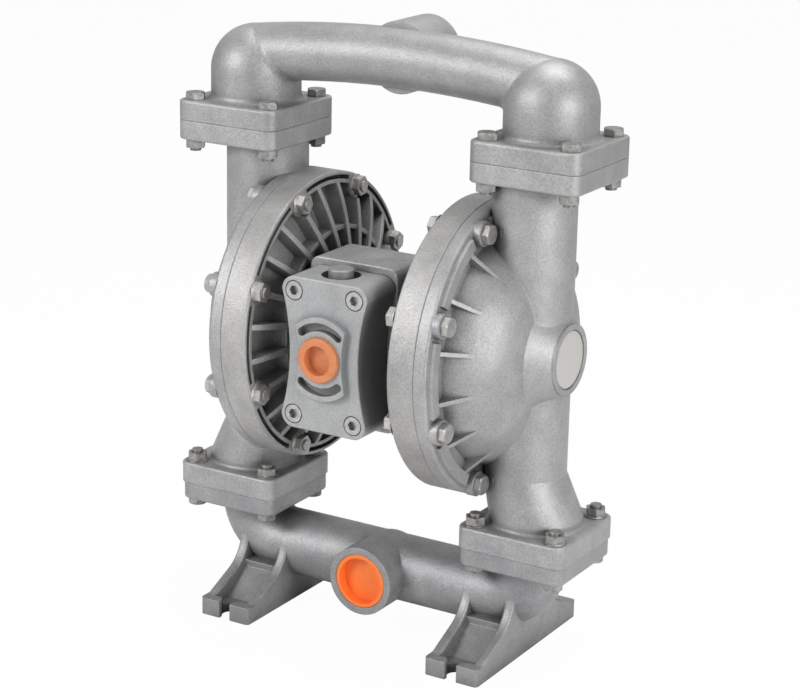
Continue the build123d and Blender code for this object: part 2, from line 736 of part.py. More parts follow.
def valve_outline():
    """The hourglass outline of the air valve in the XZ plane."""
    high = valve_screw_half_z
    half_width = valve_screw_half_x + valve_corner_radius
    waist = valve_waist_half_width
    blocks = Rectangle(2 * half_width, 2 * high) + Rectangle(
        2 * valve_screw_half_x, 2 * (high + valve_corner_radius))
    for x, z in valve_screw_places():
        blocks += Pos(x, z) * Circle(valve_corner_radius)
    sag = half_width - waist
    bite_radius = (high ** 2 + sag ** 2) / (2 * sag)
    for side in (-1, 1):
        blocks -= Pos(side * (waist + bite_radius), 0) * Circle(bite_radius)
    return blocks


def pad_outline():
    """The raised pad round the air inlet."""
    pad = Circle(valve_pad_radius) & Rectangle(2 * valve_pad_half_width, 3 * valve_pad_radius)
    sag = valve_pad_half_width - valve_pad_waist_half_width
    bite_radius = (valve_pad_half_width ** 2 + sag ** 2) / (2 * sag)
    for side in (-1, 1):
        pad -= Pos(side * (valve_pad_waist_half_width + bite_radius), 0) * Circle(bite_radius)
    return pad


def facing_front(y):
    """A drawing plane at y whose normal points to the front."""
    return Plane((0, y, chamber_z), x_dir=(1, 0, 0), z_dir=(0, -1, 0))


def air_valve_body():
    """The cast valve body with its pad, spool bore, air inlet and four screw holes."""
    pad_face_y = valve_front_y - valve_pad_height
    body = extrude(facing_front(valve_back_y) * valve_outline(), valve_back_y - valve_front_y)
    front = body.faces().sort_by(Axis.Y)[0]
    body = fillet(front.edges(), valve_edge_rounding)
    body += extrude(facing_front(valve_front_y + overrun) * pad_outline(),
                    valve_pad_height + overrun, taper=valve_pad_taper)
    outside = valve_half_height + overrun
    spool_axis = Pos(0, spool_y, chamber_z)
    body -= spool_axis * upright(spool_bore_radius, -outside, outside)
    flange_end = valve_half_height - plug_seat_depth - plug_flange_thickness
    body -= spool_axis * upright(plug_seat_radius, flange_end, outside)
    body -= spool_axis * upright(plug_seat_radius, -outside, -flange_end)
    thread_top_y = pad_face_y + inlet_recess_depth
    inlet = along_y(inlet_recess_radius, pad_face_y - overrun, thread_top_y)
    inlet += along_y(air_thread_radius, pad_face_y, thread_top_y + inlet_thread_length)
    inlet += along_y(inlet_passage_radius, pad_face_y, spool_y)
    body -= Pos(0, 0, chamber_z) * inlet
    arc = CenterArc((0, 0), slot_radius, 90 - slot_half_angle, 2 * slot_half_angle)
    slot = extrude(facing_front(pad_face_y - overrun) * SlotArc(arc, slot_width),
                   -slot_depth - overrun)
    body -= slot
    body -= mirror(slot, Plane((0, 0, chamber_z)))
    head_seat_y = valve_front_y + valve_screw_head_height
    for x, z in valve_screw_places():
        place = Pos(x, 0, chamber_z + z)
        body -= place * along_y(valve_screw_radius + bolt_hole_clearance, valve_front_y,
                                valve_back_y + overrun)
        body -= place * along_y(valve_screw_head_radius + valve_screw_recess_clearance,
                                valve_front_y - overrun, head_seat_y)
    return body


def valve_gasket():
    """Flat gasket between the valve body and the centre block."""
    sheet = extrude(facing_front(block_front_y) * valve_outline(), block_front_y - valve_back_y)
    for x, z in valve_screw_places():
        sheet -= Pos(x, 0, chamber_z + z) * along_y(
            valve_screw_radius + bolt_hole_clearance, valve_back_y - overrun,
            block_front_y + overrun)
    return sheet


def valve_screws():
    """Four socket head screws through the valve body into the centre block."""
    head_seat_y = valve_front_y + valve_screw_head_height
    length = block_front_y - head_seat_y + valve_screw_engagement
    screw = Rot(90, 0, 0) * socket_screw(
        valve_screw_radius, valve_screw_head_radius, valve_screw_head_height, length,
        valve_screw_key_radius, valve_screw_key_depth)
    return [Pos(x, head_seat_y, chamber_z + z) * screw for x, z in valve_screw_places()]


def spool_sleeve():
    """Ported sleeve pressed into the valve body."""
    half = spool_chamber_length / 2
    wall = turned_upright([
        (spool_radius + running_clearance, -half), (spool_bore_radius - running_clearance, -half),
        (spool_bore_radius - running_clearance, half), (spool_radius + running_clearance, half)])
    for z in (-half / 2, 0, half / 2):
        wall -= Pos(0, 0, z) * along_y(sleeve_port_radius, -2 * spool_bore_radius, 0)
    return Pos(0, spool_y, chamber_z) * wall


def valve_spool():
    """Spool with three lands, at the lower end of its travel."""
    length = spool_chamber_length - spool_travel - 2 * spool_gap
    land = length / 5
    points = [(0, 0), (spool_radius, 0), (spool_radius, land), (spool_waist_radius, land),
              (spool_waist_radius, 2 * land), (spool_radius, 2 * land), (spool_radius, 3 * land),
              (spool_waist_radius, 3 * land), (spool_waist_radius, 4 * land),
              (spool_radius, 4 * land), (spool_radius, length), (0, length)]
    bottom = chamber_z - spool_chamber_length / 2 + spool_gap
    return Pos(0, spool_y, bottom) * turned_upright(points)


def spool_plug():
    """Upper end plug of the spool bore, drawn about the shaft's height."""
    seat_top = valve_half_height - plug_seat_depth
    seat = seat_top - plug_flange_thickness
    bottom = spool_chamber_length / 2
    stem_top = seat_top + plug_stem_height
    return turned_upright([
        (0, bottom), (spool_bore_radius - running_clearance, bottom),
        (spool_bore_radius - running_clearance, seat), (plug_seat_radius - thread_clearance, seat),
        (plug_seat_radius - thread_clearance, seat_top), (plug_stem_radius, seat_top),
        (plug_stem_radius, stem_top - plug_bevel), (plug_stem_radius - plug_bevel, stem_top),
        (0, stem_top)])


def retaining_ring():
    """Spring ring that holds an end plug, with its gap to the front."""
    bottom = valve_half_height - plug_seat_depth
    top = bottom + ring_section
    ring = upright(plug_seat_radius - thread_clearance, bottom, top)
    ring -= upright(plug_seat_radius - 2 * ring_section, bottom - overrun, top + overrun)
    mouth = Box(ring_mouth, plug_seat_radius, 4 * ring_section)
    return ring - Pos(0, -plug_seat_radius, bottom) * mouth


def check_ball(x, seat_top):
    """A check ball resting on its seat."""
    lip_mean = (seat_bore_radius + seat_lip_radius) / 2
    lift = sqrt(ball_radius ** 2 - lip_mean ** 2)
    cone_drop = (seat_lip_radius - lip_mean) * lip_mean / lift
    return Pos(x, 0, seat_top - cone_drop + lift + ball_seat_gap) * Sphere(ball_radius)


def valve_seat(x, seat_top):
    """A seat ring with a conical lip, tangent to the ball."""
    lip_mean = (seat_bore_radius + seat_lip_radius) / 2
    slope = lip_mean / sqrt(ball_radius ** 2 - lip_mean ** 2)
    lip_drop = (seat_lip_radius - seat_bore_radius) * slope
    step_z = seat_top - seal_step_depth
    step_radius = seat_outer_radius - seal_step_width
    ring = turned_upright([
        (seat_bore_radius, seat_top - seat_thickness), (seat_outer_radius, seat_top - seat_thickness),
        (seat_outer_radius, step_z), (step_radius, step_z), (step_radius, seat_top),
        (seat_lip_radius, seat_top), (seat_bore_radius, seat_top - lip_drop)])
    return Pos(x, 0, 0) * ring


def seat_seal(x, seat_top):
    """Seal ring in the step of a valve seat, squeezed flat under the flange."""
    step_z = seat_top - seal_step_depth
    inner = seat_outer_radius - seal_step_width + thread_clearance
    return Pos(x, 0, 0) * turned_upright([
        (inner, step_z), (seat_outer_radius, step_z), (seat_outer_radius, seat_top),
        (inner, seat_top)])


def diaphragm():
    """Right diaphragm: clamped rim, one rolling convolution and a flat centre."""
    low = seam_x - diaphragm_thickness / 2
    high = seam_x + diaphragm_thickness / 2
    middle = (roll_inner_radius + roll_outer_radius) / 2
    bore = stud_radius + running_clearance
    return turned(filled(
        Polyline((low, roll_inner_radius), (low, bore), (high, bore), (high, roll_inner_radius)),
        ThreePointArc((high, roll_inner_radius), (high - roll_depth, middle), (high, roll_outer_radius)),
        Polyline((high, roll_outer_radius), (high, diaphragm_radius), (low, diaphragm_radius),
                 (low, roll_outer_radius)),
        ThreePointArc((low, roll_outer_radius), (low - roll_depth, middle), (low, roll_inner_radius))))


def inner_plate():
    """Air side plate behind the diaphragm."""
    face = seam_x - diaphragm_thickness / 2
    back = face - inner_plate_thickness
    bore = stud_radius + running_clearance
    edge = inner_plate_radius - plate_rounding
    return turned(polygon([
        (back, bore), (back, edge), (back + plate_rounding, inner_plate_radius),
        (face, inner_plate_radius), (face, bore)]))


def outer_plate():
    """Liquid side plate with its closed threaded hub."""
    face = seam_x + diaphragm_thickness / 2
    back = face + outer_plate_thickness
    nose = back + outer_nut_length
    bore = stud_radius + running_clearance
    bore_end = back + thread_end
    return turned(polygon([
        (face, bore), (face, outer_plate_radius), (face + plate_rounding, outer_plate_radius),
        (back, outer_plate_radius - 3 * plate_rounding), (back, outer_nut_radius),
        (nose - plate_rounding, outer_nut_radius), (nose, outer_nut_radius - plate_rounding),
        (nose, 0), (bore_end, 0), (bore_end, bore)]))


def diaphragm_shaft():
    """Shaft through the centre block with a reduced stud at each end."""
    shoulder = seam_x - diaphragm_thickness / 2 - inner_plate_thickness
    tip = seam_x + diaphragm_thickness / 2 + outer_plate_thickness
    shaft = along_x(shaft_radius, -shoulder, shoulder) + along_x(stud_radius, -tip, tip)
    return Pos(0, 0, chamber_z) * shaft


def ring_along_x(inner, outer, start, end):
    """A plain ring on the shaft axis."""
    return along_x(outer, start, end) - along_x(inner, start - overrun, end + overrun)


def both_sides(part):
    """The part and its mirror image across the middle of the pump."""
    return [part, mirror(part, Plane.YZ)]


def shaft_bushings():
    """Two bushings in the centre block."""
    inner_end = block_half_width - seal_length - bushing_length
    ring = ring_along_x(shaft_radius + running_clearance, bushing_radius - thread_clearance,
                        inner_end, block_half_width - seal_length)
    return both_sides(Pos(0, 0, chamber_z) * ring)


def shaft_seals():
    """Two lip seals outside the bushings."""
    ring = ring_along_x(shaft_radius + running_clearance, bushing_radius - thread_clearance,
                        block_half_width - seal_length, block_half_width)
    return both_sides(Pos(0, 0, chamber_z) * ring)


def pilot_bushings():
    """Two bushings for the pilot rod."""
    ring = ring_along_x(pilot_rod_radius + running_clearance, pilot_bushing_radius - thread_clearance,
                        block_half_width - pilot_bushing_length, block_half_width)
    return both_sides(Pos(0, 0, chamber_z + pilot_rod_offset) * ring)


def pilot_rod():
    """Pilot rod that ends just short of the inner plates at the ends of their stroke."""
    plate_back = seam_x - diaphragm_thickness / 2 - inner_plate_thickness
    half_length = plate_back - half_stroke - pilot_half_travel - pilot_gap
    return Pos(0, 0, chamber_z + pilot_rod_offset) * along_x(pilot_rod_radius, -half_length, half_length)


def block_gasket_ring():
    """Gasket between the right air chamber's hub and the centre block."""
    before, after = block_half_width - overrun, hub_x + overrun
    gasket = along_x(hub_radius, block_half_width, hub_x) - along_x(bushing_radius, before, after)
    gasket -= Pos(0, 0, pilot_rod_offset) * along_x(pilot_bushing_radius, before, after)
    hole = along_x(block_screw_radius + bolt_hole_clearance, before, after)
    for angle in block_screw_angles:
        gasket -= round_the_shaft(hole, angle, block_screw_circle_radius)
    return gasket


def block_screws():
    """Four socket head screws that hold the right air chamber to the centre block."""
    seat_x = web_hub_x + casting_wall - block_screw_recess_depth
    length = seat_x - block_half_width + block_screw_engagement
    screw = Rot(0, 90, 0) * socket_screw(
        block_screw_radius, block_screw_head_radius, block_screw_head_height, length,
        block_screw_key_radius, block_screw_key_depth)
    screw = Pos(seat_x, 0, 0) * screw
    return [round_the_shaft(screw, angle, block_screw_circle_radius) for angle in block_screw_angles]


def chamber_bolts():
    """Eight bolts of the right chamber joint, with their heads on the fluid chamber."""
    seat_x = fluid_face_x + spotface_height
    length = seat_x - rim_inner_x + nut_height + chamber_bolt_protrusion
    bolt = Pos(seat_x, 0, 0) * Rot(0, 90, 0) * hex_bolt(length)
    return [round_the_shaft(bolt, angle, chamber_bolt_circle_radius) for angle in chamber_bolt_angles]


def chamber_nuts():
    """Eight flange nuts on the rim of the right air chamber."""
    nut = Pos(rim_inner_x, 0, 0) * Rot(0, -90, 0) * flange_nut()
    return [round_the_shaft(nut, angle, chamber_bolt_circle_radius) for angle in chamber_bolt_angles]


def on_flange_bolts(part):
    """A copy of the part at each of the eight flange bolts of a joint."""
    return [Pos(side * half_spacing + x, y, 0) * part
            for side in (-1, 1) for x, y in flange_bolt_places]


def discharge_flange_bolts():
    """Eight hexagon bolts that hold the discharge manifold down."""
    length = discharge_flange_thickness + chamber_top_flange_thickness + nut_height + thread_end
    return on_flange_bolts(Pos(0, 0, top_joint_z + discharge_flange_thickness) * hex_bolt(length))


def discharge_flange_nuts():
    """Plain nuts under the upper flanges of the fluid chambers."""
    return on_flange_bolts(
        Pos(0, 0, top_joint_z - chamber_top_flange_thickness - nut_height) * plain_nut())


def suction_flange_bolts():
    """Eight hexagon bolts put in from below."""
    length = suction_flange_thickness + chamber_bottom_flange_thickness + nut_height + thread_end
    place = Pos(0, 0, bottom_joint_z - suction_flange_thickness) * Rot(180, 0, 0)
    return on_flange_bolts(place * hex_bolt(length))


def suction_flange_nuts():
    """Flange nuts on the lower flanges of the fluid chambers."""
    return on_flange_bolts(Pos(0, 0, bottom_joint_z + chamber_bottom_flange_thickness) * flange_nut())


def badge():
    """Plain round disc in the recess of the right boss."""
    start = boss_face_x - badge_recess
    return along_x(badge_radius, start, start + badge_thickness)


def suction_port_cap():
    """Moulded cup that closes the suction port for transport."""
    inner_y = port_cap_depth - port_boss_reach
    cap = along_y(port_cap_radius, -port_boss_reach, inner_y)
    cap = fillet(cap.edges().sort_by(Axis.Y)[0], port_cap_rounding)
    cap -= along_y(port_cap_radius - port_cap_wall, -port_boss_reach - overrun,
                   inner_y - port_cap_floor)
    return Pos(0, 0, suction_pipe_z) * cap


def air_inlet_cap():
    """Moulded cup with a lip that closes the air inlet for transport."""
    pad_face_y = valve_front_y - valve_pad_height
    lip_y = pad_face_y - inlet_cap_lip_height
    lip = along_y(inlet_cap_lip_radius, lip_y, pad_face_y)
    lip = fillet(lip.edges().sort_by(Axis.Y)[0], inlet_cap_lip_rounding)
    inner_y = pad_face_y + inlet_recess_depth - inlet_cap_gap
    cap = lip + along_y(inlet_recess_radius - cap_clearance, pad_face_y - overrun, inner_y)
    cap -= along_y(inlet_cap_bore_radius, lip_y - overrun, inner_y - inlet_cap_floor)
    return Pos(0, 0, chamber_z) * cap


def save(name, shapes):
    """Writes one node, either one solid or a group of like solids."""
    shapes = shapes if isinstance(shapes, list) else [shapes]
    solids = [solid for shape in shapes for solid in shape.solids()]
    export_step(solids[0] if len(solids) == 1 else Compound(children=solids), f"parts/{name}.step")


save("discharge_manifold", discharge_manifold())
save("suction_manifold", suction_manifold())
right_fluid_chamber = fluid_chamber()
right_air_chamber = air_chamber()
for side_name, side in side_names.items():
    save(f"fluid_chamber_{side_name}", placed(right_fluid_chamber, side))
    save(f"air_chamber_{side_name}", placed(right_air_chamber, side))
    save(f"diaphragm_{side_name}", placed(diaphragm(), side))
    save(f"inner_plate_{side_name}", placed(inner_plate(), side))
    save(f"outer_plate_{side_name}", placed(outer_plate(), side))
    save(f"badge_disc_{side_name}", placed(badge(), side))
    save(f"block_gasket_{side_name}", placed(block_gasket_ring(), side))
    save(f"block_screws_{side_name}", [placed(screw, side) for screw in block_screws()])
    save(f"chamber_bolts_{side_name}", [placed(bolt, side) for bolt in chamber_bolts()])
    save(f"chamber_nuts_{side_name}", [placed(nut, side) for nut in chamber_nuts()])
    for port, seat_top in (("suction", bottom_joint_z), ("discharge", top_joint_z)):
        save(f"{port}_seat_{side_name}", valve_seat(side * half_spacing, seat_top))
        save(f"{port}_ball_{side_name}", check_ball(side * half_spacing, seat_top))
save("seat_seals", [seat_seal(side * half_spacing, seat_top) for side in (-1, 1)
                    for seat_top in (bottom_joint_z, top_joint_z)])
save("center_block", center_block())
save("air_valve_body", air_valve_body())
save("valve_gasket", valve_gasket())
save("valve_screws", valve_screws())
save("spool_sleeve", spool_sleeve())
save("valve_spool", valve_spool())
upper_plug = spool_plug()
save("spool_plug_top", Pos(0, spool_y, chamber_z) * upper_plug)
save("spool_plug_bottom", Pos(0, spool_y, chamber_z) * Rot(180, 0, 0) * upper_plug)
upper_ring = retaining_ring()
save("plug_retaining_rings", [Pos(0, spool_y, chamber_z) * upper_ring,
                              Pos(0, spool_y, chamber_z) * mirror(upper_ring, Plane.XY)])
save("diaphragm_shaft", diaphragm_shaft())
save("shaft_bushings", shaft_bushings())
save("shaft_seals", shaft_seals())
save("pilot_rod", pilot_rod())
save("pilot_bushings", pilot_bushings())
save("discharge_flange_bolts", discharge_flange_bolts())
save("discharge_flange_nuts", discharge_flange_nuts())
save("suction_flange_bolts", suction_flange_bolts())
save("suction_flange_nuts", suction_flange_nuts())
save("suction_port_cap", suction_port_cap())
save("air_inlet_cap", air_inlet_cap())
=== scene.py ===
import bmesh
import bpy
import json
from math import cos, pi, radians, sin
from mathutils import Matrix, Vector


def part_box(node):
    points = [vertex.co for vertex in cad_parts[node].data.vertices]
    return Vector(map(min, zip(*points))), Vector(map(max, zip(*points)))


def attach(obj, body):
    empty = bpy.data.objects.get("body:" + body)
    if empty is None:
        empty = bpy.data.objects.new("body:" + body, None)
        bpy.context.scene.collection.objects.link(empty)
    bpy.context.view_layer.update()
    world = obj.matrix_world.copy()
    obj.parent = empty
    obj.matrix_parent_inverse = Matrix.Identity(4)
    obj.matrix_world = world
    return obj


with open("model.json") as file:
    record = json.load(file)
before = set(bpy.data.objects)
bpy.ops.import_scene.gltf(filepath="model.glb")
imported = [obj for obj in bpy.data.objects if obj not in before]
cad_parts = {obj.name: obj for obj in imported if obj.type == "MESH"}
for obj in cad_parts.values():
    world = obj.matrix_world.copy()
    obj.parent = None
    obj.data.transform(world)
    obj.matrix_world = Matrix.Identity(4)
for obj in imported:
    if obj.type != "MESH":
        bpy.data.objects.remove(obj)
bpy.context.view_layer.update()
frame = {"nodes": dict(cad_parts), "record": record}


# Suction manifold: one sand casting in aluminium alloy, with the inlet boss in the middle and two
# feet. It is shot-blasted and sprayed aluminium grey, and its port is threaded for a 1 1/2 inch pipe.
def rgb(hex_colour):
    """A linear colour from an sRGB hex value, by the curve of the sRGB standard."""
    parts = [int(hex_colour[i:i + 2], 16) / 255 for i in (1, 3, 5)]
    return [c / 12.92 if c <= 0.04045 else ((c + 0.055) / 1.055) ** 2.4 for c in parts] + [1.0]


def add(nodes, kind, inputs=(), **settings):
    """Adds a shader node. Inputs go by name or number, and hold a value or another node's output."""
    node = nodes.new("ShaderNode" + kind)
    for name, value in settings.items():
        setattr(node, name, value)
    for socket, value in dict(inputs).items():
        if isinstance(value, bpy.types.NodeSocket):
            nodes.id_data.links.new(value, node.inputs[socket])
        else:
            node.inputs[socket].default_value = value
    return node


def new_material(name):
    """An empty material with its node list and its main shader."""
    material = bpy.data.materials.new(name)
    material.use_nodes = True
    return material, material.node_tree.nodes, material.node_tree.nodes["Principled BSDF"]


def cover(names, material):
    """Gives CAD nodes one material."""
    for name in names:
        piece = frame["nodes"][name]
        piece.data.materials.clear()
        piece.data.materials.append(material)


def cast_aluminium(name, pale, deep, grain=0.0017, grain_depth=0.8, reach=0.03, roughness=0.44,
                   metallic=0.45):
    """Blasted and sprayed sand casting: cloudy grey, a sandy grain, soft edges, and hollows darkened by
    painted shade.

    Blasting grit leaves pits of about 0.4 mm, drawn here three to six times as coarse to show.
    """
    cloud_width = 0.055
    stain_width = 0.014
    ripple_width = 0.009
    ripple_height = 0.0006
    pit_depth = 0.0005
    edge_radius = 0.0015
    material, nodes, shader = new_material(name)
    links = material.node_tree.links
    place = add(nodes, "TexCoord").outputs["Object"]
    clouds = add(nodes, "TexNoise", {"Vector": place, "Scale": 1 / cloud_width, "Detail": 3,
                                     "Roughness": 0.6})
    spread = add(nodes, "MapRange", {"Value": clouds.outputs[0], "From Min": 0.35, "From Max": 0.65})
    body = add(nodes, "Mix", {0: spread.outputs[0], 6: rgb(deep), 7: rgb(pale)}, data_type="RGBA")
    sand = add(nodes, "TexNoise", {"Vector": place, "Scale": 1 / grain, "Detail": 3, "Roughness": 0.7})
    speck = add(nodes, "MapRange", {"Value": sand.outputs[0], "From Min": 0.36, "From Max": 0.64,
                                    "To Min": 0.84, "To Max": 1.12})
    stains = add(nodes, "TexNoise", {"Vector": place, "Scale": 1 / stain_width, "Detail": 4,
                                     "Roughness": 0.6})
    stained = add(nodes, "MapRange", {"Value": stains.outputs[0], "From Min": 0.35, "From Max": 0.65,
                                      "To Min": 0.95, "To Max": 1.04})
    shade = add(nodes, "Math", {0: speck.outputs[0], 1: stained.outputs[0]}, operation="MULTIPLY")
    grainy = add(nodes, "Mix", {0: 1.0, 6: body.outputs[2], 7: shade.outputs[0]},
                 data_type="RGBA", blend_type="MULTIPLY")
    # Painted shade: ambient occlusion darkens the colour in hollows, creases and gaps between parts.
    hollow = add(nodes, "AmbientOcclusion", {"Distance": reach}, samples=8)
    painted_hollow_shade = add(nodes, "MapRange", {"Value": hollow.outputs["AO"], "From Min": 0.1, "From Max": 0.8,
                                   "To Min": 0.3, "To Max": 1.0})
    colour = add(nodes, "Mix", {0: 1.0, 6: grainy.outputs[2], 7: painted_hollow_shade.outputs[0]},
                 data_type="RGBA", blend_type="MULTIPLY")
    ripples = add(nodes, "TexNoise", {"Vector": place, "Scale": 1 / ripple_width, "Detail": 2})
    soft_edge = add(nodes, "Bevel", {"Radius": edge_radius}, samples=6)
    waves = add(nodes, "Bump", {"Height": ripples.outputs[0], "Distance": ripple_height,
                                "Strength": 0.35, "Normal": soft_edge.outputs[0]})
    rough = add(nodes, "Bump", {"Height": sand.outputs[0], "Distance": pit_depth,
                                "Strength": grain_depth, "Normal": waves.outputs[0]})
    links.new(colour.outputs[2], shader.inputs["Base Color"])
    links.new(rough.outputs[0], shader.inputs["Normal"])
    shader.inputs["Metallic"].default_value = metallic
    shader.inputs["Roughness"].default_value = roughness
    return material


def thread_ridge(start, end, wall_radius, tip_radius, pitch):
    """Points and faces of one helical thread ridge between two points of its axis, closed at its ends."""
    steps_per_turn = 32
    flank_share = 0.46
    first_height = 0.15
    run_out_turns = 0.5
    axis = (end - start).normalized()
    across = axis.orthogonal().normalized()
    along = axis.cross(across)
    flank = flank_share * pitch * axis
    steps = int(steps_per_turn * ((end - start).length - pitch) / pitch)
    points, faces = [], []
    for step in range(steps + 1):
        angle = 2 * pi * step / steps_per_turn
        outward = cos(angle) * across + sin(angle) * along
        middle = start + axis * (pitch / 2 + pitch * step / steps_per_turn)
        turns_from_end = min(step, steps - step) / steps_per_turn
        height = min(1.0, first_height + turns_from_end / run_out_turns)
        tip = wall_radius + (tip_radius - wall_radius) * height
        points += [middle + outward * wall_radius - flank, middle + outward * tip,
                   middle + outward * wall_radius + flank]
    for step in range(steps):
        here = 3 * step
        for corner in range(3):
            after = (corner + 1) % 3
            faces.append((here + corner, here + after, here + 3 + after, here + 3 + corner))
    last = 3 * steps
    faces += [(2, 1, 0), (last, last + 1, last + 2)]
    return points, faces


def joined_mesh(name, shapes, material):
    """One object from a list of closed shapes, riding on the pump body."""
    points, faces = [], []
    for shape_points, shape_faces in shapes:
        offset = len(points)
        points += shape_points
        faces += [[offset + corner for corner in face] for face in shape_faces]
    mesh = bpy.data.meshes.new(name)
    mesh.from_pydata(points, [], faces)
    edit = bmesh.new()
    edit.from_mesh(mesh)
    bmesh.ops.recalc_face_normals(edit, faces=edit.faces)
    edit.to_mesh(mesh)
    edit.free()
    piece = bpy.data.objects.new(name, mesh)
    bpy.context.collection.objects.link(piece)
    mesh.materials.append(material)
    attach(piece, "pump_body")


mouth_inset = 0.001
root_overlap = 0.0001


def port_thread(name, mount_name, pitch, depth, material, skip=0.0):
    """The pipe thread of a port, from the record's bore, left plain for a first stretch."""
    mount = next(mount for mount in frame["record"]["mounts"] if mount["name"] == mount_name)
    axis = Vector(mount["axis"])
    half = axis * mount["dims"]["length_mm"] / 2000
    radius = mount["dims"]["r_mm"] / 1000
    mouth = Vector(mount["pos_m"]) + half - axis * (skip + mouth_inset)
    bottom = Vector(mount["pos_m"]) - half
    ridge = thread_ridge(mouth, bottom, radius + root_overlap, radius - depth, pitch)
    joined_mesh(name, [ridge], material)


lower_metal = cast_aluminium("sprayed_cast_aluminium_lower", "#a6a5a6", "#969598")
cover(["suction_manifold"], lower_metal)
port_pitch = 0.00231
port_thread_depth = 0.0008
cap_reach = 0.0125
port_thread("suction_port_thread", "suction_port", port_pitch, port_thread_depth, lower_metal,
            skip=cap_reach)


# Valve seats and check balls: the balls are turned from white fluoropolymer, and so are the seat
# rings and their flat seals. Satin white, smooth, with the faint rings of the lathe.
def turned_polymer(name, colour):
    """Lathe-turned polymer: satin white, slightly uneven in tint, with fine rings.

    The tool moves about 0.2 mm a turn, drawn here about eight times as coarse to show. The rings
    and the grooves between them are each about one ring width wide.
    """
    tint_width = 0.02
    ring_width = 0.0008
    ring_height = 0.00005
    material, nodes, shader = new_material(name)
    links = material.node_tree.links
    place = add(nodes, "TexCoord").outputs["Object"]
    tint = add(nodes, "TexNoise", {"Vector": place, "Scale": 1 / tint_width, "Detail": 2})
    colours = add(nodes, "Mix", {0: tint.outputs[0], 6: rgb(colour), 7: rgb("#e4e2da")}, data_type="RGBA")
    rings = add(nodes, "TexWave", {"Vector": place, "Scale": 1 / (2 * pi * ring_width),
                                   "Distortion": 0.3}, bands_direction="Z")
    turned = add(nodes, "Bump", {"Height": rings.outputs[0], "Distance": ring_height, "Strength": 0.4})
    links.new(colours.outputs[2], shader.inputs["Base Color"])
    links.new(turned.outputs[0], shader.inputs["Normal"])
    shader.inputs["Roughness"].default_value = 0.35
    shader.inputs["IOR"].default_value = 1.38
    return material


balls = [f"{port}_ball_{side}" for port in ("suction", "discharge") for side in ("left", "right")]
seats = [name.replace("ball", "seat") for name in balls]
cover(balls + seats + ["seat_seals"], turned_polymer("turned_white_fluoropolymer", "#efede6"))


# Fluid chambers: two sand castings with dome, flow neck and flanges, of the same alloy and finish as
# the manifolds, but a little paler.
chamber_metal = cast_aluminium("sprayed_cast_aluminium_chamber", "#afaeae", "#a09fa1")
cover(["fluid_chamber_left", "fluid_chamber_right"], chamber_metal)


# Badge discs: thin plain discs of anodised aluminium, glued into the recess of each dome boss. The
# brushing runs one way, and the surface is bare.
def brushed_aluminium(name, colour):
    """Brushed and clear anodised sheet: fine one-way strokes and a soft gloss.

    The real strokes are about 0.1 mm wide, drawn here six times as wide to show.
    """
    stroke_width = 0.0006
    strokes_long_to_wide = 25
    stroke_depth = 0.00005
    material, nodes, shader = new_material(name)
    links = material.node_tree.links
    place = add(nodes, "TexCoord").outputs["Object"]
    along = add(nodes, "Mapping", {"Vector": place, "Scale": (1.0, 1 / strokes_long_to_wide, 1.0)})
    strokes = add(nodes, "TexNoise", {"Vector": along.outputs[0], "Scale": 1 / stroke_width,
                                      "Detail": 3})
    shade = add(nodes, "MapRange", {"Value": strokes.outputs[0], "To Min": 0.95, "To Max": 1.04})
    colours = add(nodes, "Mix", {0: 1.0, 6: rgb(colour), 7: shade.outputs[0]},
                  data_type="RGBA", blend_type="MULTIPLY")
    lines = add(nodes, "Bump", {"Height": strokes.outputs[0], "Distance": stroke_depth, "Strength": 0.5})
    links.new(colours.outputs[2], shader.inputs["Base Color"])
    links.new(lines.outputs[0], shader.inputs["Normal"])
    shader.inputs["Metallic"].default_value = 0.5
    shader.inputs["Roughness"].default_value = 0.4
    return material


cover(["badge_disc_left", "badge_disc_right"], brushed_aluminium("brushed_anodised_disc", "#cfcdc9"))


# Diaphragms, gaskets and lip seals: moulded nitrile rubber, and gasket sheet punched from the same.
# Dull black with the fine grain of the mould.
def moulded_rubber(name, colour):
    """Moulded nitrile rubber: dull, dark, and slightly mottled by the mould release.

    The mould's grain is about 0.3 mm wide, drawn here three times as coarse to show.
    """
    mottle_width = 0.012
    grain_width = 0.0009
    skin_depth = 0.0001
    material, nodes, shader = new_material(name)
    links = material.node_tree.links
    place = add(nodes, "TexCoord").outputs["Object"]
    mottle = add(nodes, "TexNoise", {"Vector": place, "Scale": 1 / mottle_width, "Detail": 4})
    colours = add(nodes, "Mix", {0: mottle.outputs[0], 6: rgb(colour), 7: rgb("#2c2c2d")}, data_type="RGBA")
    skin = add(nodes, "TexNoise", {"Vector": place, "Scale": 1 / grain_width, "Detail": 2})
    bumps = add(nodes, "Bump", {"Height": skin.outputs[0], "Distance": skin_depth, "Strength": 0.5})
    links.new(colours.outputs[2], shader.inputs["Base Color"])
    links.new(bumps.outputs[0], shader.inputs["Normal"])
    shader.inputs["Roughness"].default_value = 0.6
    shader.inputs["IOR"].default_value = 1.52
    return material


cover(["diaphragm_left", "diaphragm_right", "shaft_seals", "block_gasket_left", "block_gasket_right",
       "valve_gasket"], moulded_rubber("moulded_nitrile_rubber", "#1b1b1c"))


